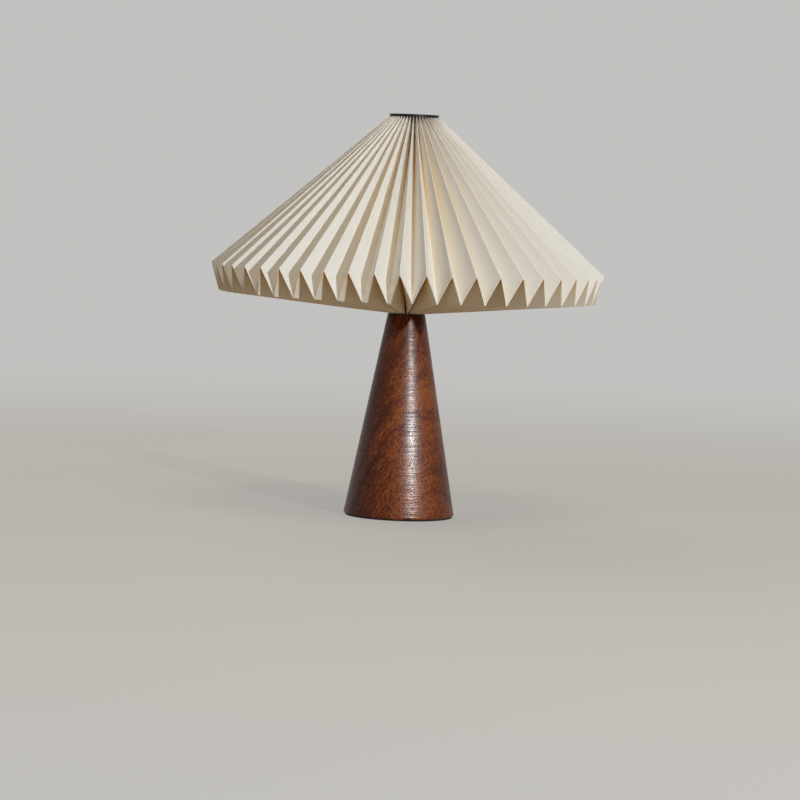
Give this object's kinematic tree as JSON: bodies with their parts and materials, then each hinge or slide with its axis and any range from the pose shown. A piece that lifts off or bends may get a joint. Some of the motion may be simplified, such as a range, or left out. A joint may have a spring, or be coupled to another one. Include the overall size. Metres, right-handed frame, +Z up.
{
  "type": "pleated table lamp",
  "caption": "Table lamp with a turned wood cone for a base and a wide closed shade of radially folded paper, drawn in at a black top ring.",
  "frame": {"origin": "on the surface that the lamp stands on, under the middle of the base pad", "axes": "+Z up the lamp's axis, +Y to the back where the cord goes in, +X to the right seen from the front"},
  "size_m": [0.3928, 0.392, 0.4004],
  "materials": {
    "wood": "satin oiled, reddish brown with fine dark pores",
    "pad_felt": "black felt",
    "plated_steel": "zinc plated",
    "black_plastic": "moulded, fine grain",
    "holder_ceramic": "unglazed",
    "brass_contacts": "pressed, dull",
    "black_glass": "gloss",
    "bulb_cap_nickel": "nickel plated",
    "white_plastic": "satin",
    "board_white": "white solder mask",
    "chip_yellow": "phosphor coated",
    "opal_globe": "opal, satin",
    "black_metal": "satin black",
    "shade_paper": "matt, folded, lets light through",
    "thread": "pale twisted thread"
  },
  "bodies": {
    "base": {"wood_base": "wood", "base_pad": "pad_felt", "base_weight": "plated_steel", "threaded_tube": "plated_steel", "base_washer": "plated_steel", "base_nut": "plated_steel", "seat_washer": "plated_steel", "top_nut": "plated_steel", "cord_bush": "black_plastic", "holder_cap": "black_plastic", "holder_insert": "holder_ceramic", "terminal_screws": "brass_contacts", "centre_contact": "brass_contacts", "screw_sleeve": "brass_contacts", "holder_skirt": "black_plastic"},
    "collar": {"neck_collar": "black_metal", "collar_ring": "black_metal"},
    "shade": {"shade_upper": "shade_paper", "shade_under": "shade_paper", "gather_cord": "thread", "top_ring": "black_metal"},
    "bulb_tip": {"bulb_contact": "brass_contacts"},
    "bulb": {"bulb_insulator": "black_glass", "bulb_cap": "bulb_cap_nickel", "bulb_housing": "white_plastic", "led_board": "board_white", "led_chips": "chip_yellow", "bulb_globe": "opal_globe"}
  },
  "joints": [
    {"name": "shade_lift", "type": "slide", "parent": "base", "child": "collar", "axis": [0, 0, 1], "range_m": [0, 0.16]},
    {"name": "shade_swivel", "type": "hinge", "parent": "collar", "child": "shade", "pos_m": [0, 0, 0.2], "axis": [0, 0, 1], "continuous": true},
    {"name": "bulb_rise", "type": "slide", "parent": "base", "child": "bulb_tip", "axis": [0, 0, 1], "range_m": [0, 0.0127]},
    {"name": "bulb_turn", "type": "hinge", "parent": "bulb_tip", "child": "bulb", "pos_m": [0, 0, 0.23], "axis": [0, 0, 1], "range_deg": [0, 1620]}
  ],
  "couplings": [
    {"joint": "bulb_rise", "follows": "bulb_turn", "m_per_rad": 0.00044882}
  ]
}
